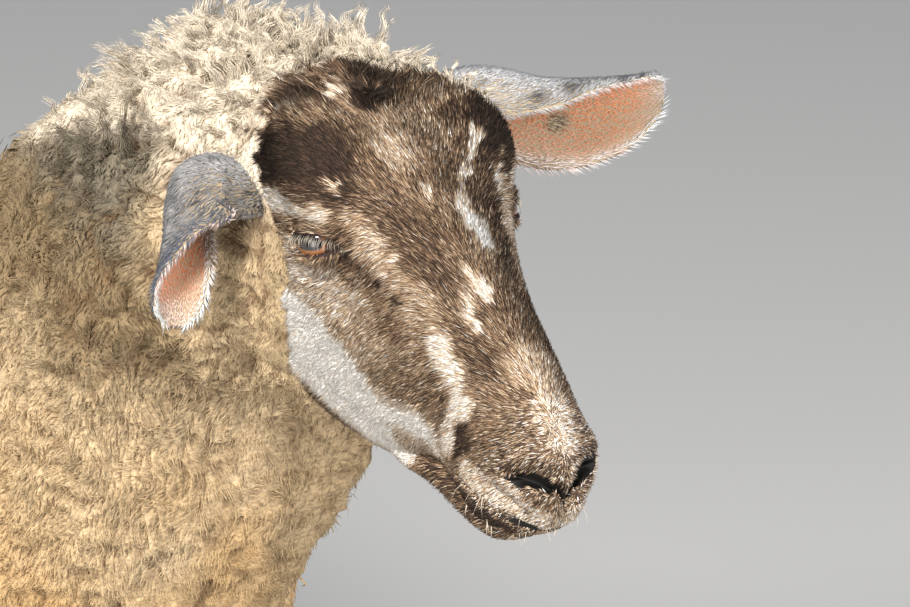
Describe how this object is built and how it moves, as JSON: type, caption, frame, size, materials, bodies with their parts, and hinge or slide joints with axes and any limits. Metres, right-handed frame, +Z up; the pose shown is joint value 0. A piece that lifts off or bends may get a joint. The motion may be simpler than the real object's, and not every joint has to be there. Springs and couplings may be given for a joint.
{
  "type": "sheep",
  "caption": "Life-size standing ewe with a cream crimped fleece, a brown roan face with white streaks, one ear raised and one hanging, and cloven hooves on the floor.",
  "frame": {"origin": "on the floor under the middle of the bounding box", "axes": "+X from tail to nose along the trunk, +Y to the animal's left, +Z up"},
  "size_m": [1.23, 0.4182, 0.9249],
  "materials": {
    "fleece": "crimped cream wool, no shine",
    "face": "short dense hair, brown roan with white streaks",
    "jaw": "short dense hair, whitish",
    "ear": "thin leaf with short hair outside and pink skin within",
    "leg": "short dense hair, brown roan",
    "eye": "wet and glossy, amber iris with a dark level pupil",
    "horn": "worn dark horn with growth lines"
  },
  "bodies": {
    "root": {"trunk": "fleece", "neck": "fleece", "tail": "fleece", "head": "face", "lower_jaw": "jaw", "ear_left": "ear", "eye_left": "eye", "ear_right": "ear", "eye_right": "eye", "foreleg_left_arm": "fleece", "foreleg_left_cannon": "leg", "foreleg_left_foot": "leg", "foreleg_left_claw_inner": "horn", "foreleg_left_dewclaw_inner": "horn", "foreleg_left_claw_outer": "horn", "foreleg_left_dewclaw_outer": "horn", "foreleg_right_arm": "fleece", "foreleg_right_cannon": "leg", "foreleg_right_foot": "leg", "foreleg_right_claw_inner": "horn", "foreleg_right_dewclaw_inner": "horn", "foreleg_right_claw_outer": "horn", "foreleg_right_dewclaw_outer": "horn", "hindleg_left_thigh": "fleece", "hindleg_left_cannon": "leg", "hindleg_left_foot": "leg", "hindleg_left_claw_inner": "horn", "hindleg_left_dewclaw_inner": "horn", "hindleg_left_claw_outer": "horn", "hindleg_left_dewclaw_outer": "horn", "hindleg_right_thigh": "fleece", "hindleg_right_cannon": "leg", "hindleg_right_foot": "leg", "hindleg_right_claw_inner": "horn", "hindleg_right_dewclaw_inner": "horn", "hindleg_right_claw_outer": "horn", "hindleg_right_dewclaw_outer": "horn"}
  },
  "joints": []
}
